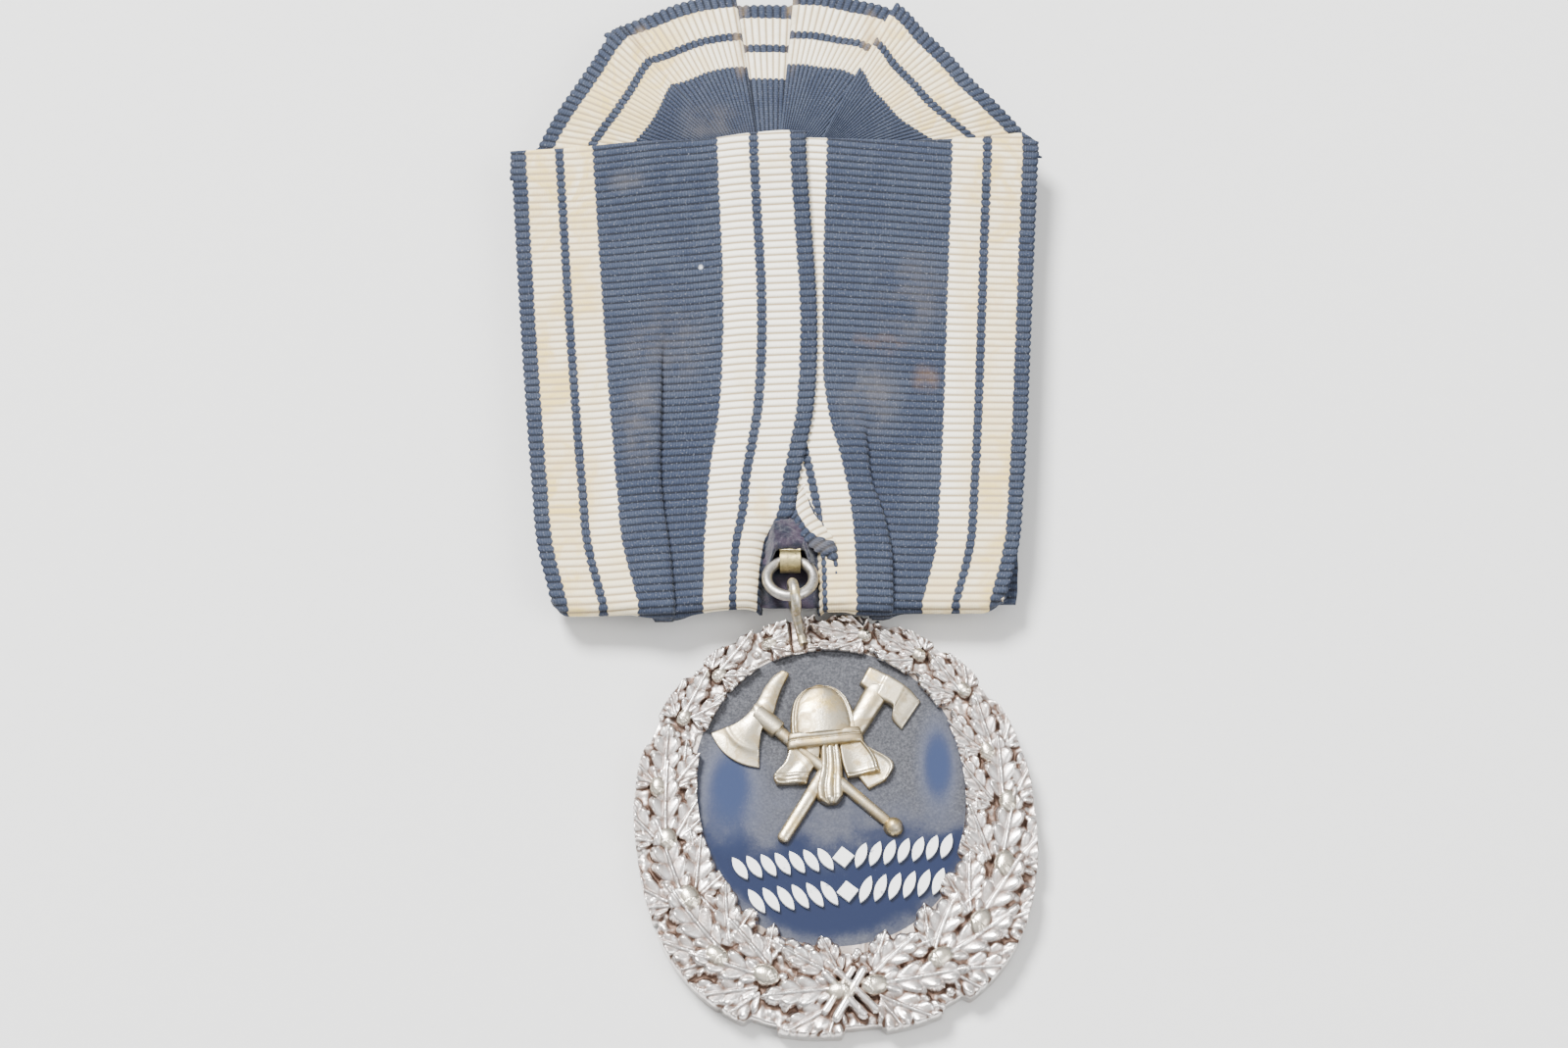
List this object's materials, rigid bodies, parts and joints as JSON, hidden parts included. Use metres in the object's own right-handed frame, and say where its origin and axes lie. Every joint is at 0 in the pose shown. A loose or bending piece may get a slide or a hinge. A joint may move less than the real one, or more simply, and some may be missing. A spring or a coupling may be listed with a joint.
{
  "type": "medal on ribbon bar",
  "caption": "Oval service medal with an oak wreath round an enamelled field, hung by a ring from a folded, pleated ribbon bar that pins to clothing.",
  "frame": {"origin": "under the middle of the bounding box, on the surface the medal lies on", "axes": "+Y from the medal to the ribbon's fan (longest), +X to the right, +Z out of the face (shortest)"},
  "size_m": [0.0436, 0.0902, 0.006],
  "materials": {
    "ribbon": "ribbed silk grosgrain, cream with navy stripes",
    "dark_cloth": "brushed dark cloth",
    "felt": "dark felt",
    "thread": "twisted thread",
    "card": "raw board",
    "tin": "dull tinned sheet",
    "steel": "drawn wire, slightly worn",
    "dark_steel": "darkened wire",
    "brass": "aged brass",
    "silver": "struck brass, silvered, dark in the hollows",
    "worn_silver": "silvering worn to brass on the high spots",
    "dark_enamel": "dark blue enamel, hazed with age",
    "white_enamel": "white enamel"
  },
  "bodies": {
    "bar": {"stiffener_plate": "tin", "card_liner": "card", "back_lining": "felt", "lining_stitches": "thread", "ribbon_back_layer": "ribbon", "ribbon_left_panel": "ribbon", "ribbon_right_panel": "ribbon", "ribbon_fan": "ribbon", "ribbon_inner_fold": "dark_cloth", "ribbon_turned_flap": "ribbon", "hanger_pin": "steel", "pin_hinge_plate": "brass", "pin_catch": "brass", "needle_rivet": "steel", "mounting_rivets": "steel"},
    "link": {"hanger_link": "brass"},
    "ring": {"suspension_ring": "dark_steel"},
    "medal": {"medal_eye": "worn_silver", "medal_base_plate": "silver", "oak_wreath": "silver", "enamel_field": "dark_enamel", "helmet_badge": "worn_silver", "axe_badge": "worn_silver", "hatchet_badge": "worn_silver", "leaf_inlay_upper": "white_enamel", "leaf_inlay_lower": "white_enamel"},
    "needle": {"brooch_needle": "steel"}
  },
  "joints": [
    {"name": "link_swing", "type": "hinge", "parent": "bar", "child": "link", "pos_m": [0.0005, -0.0046, 0.0033], "axis": [-1, 0, 0], "range_deg": [-2, 70]},
    {"name": "ring_turn", "type": "hinge", "parent": "link", "child": "ring", "pos_m": [0.0005, -0.00793, 0.00387], "axis": [0, 0.309, 0.9511], "range_deg": [-20, 2]},
    {"name": "medal_swing", "type": "hinge", "parent": "ring", "child": "medal", "pos_m": [0.00077, -0.00968, 0.00444], "axis": [-0.989, -0.1406, 0.0457], "range_deg": [-3, 95]},
    {"name": "needle_swing", "type": "hinge", "parent": "bar", "child": "needle", "pos_m": [-0.016, 0.022, 0.00085], "axis": [0, 0, -1], "range_deg": [0, 70]}
  ]
}
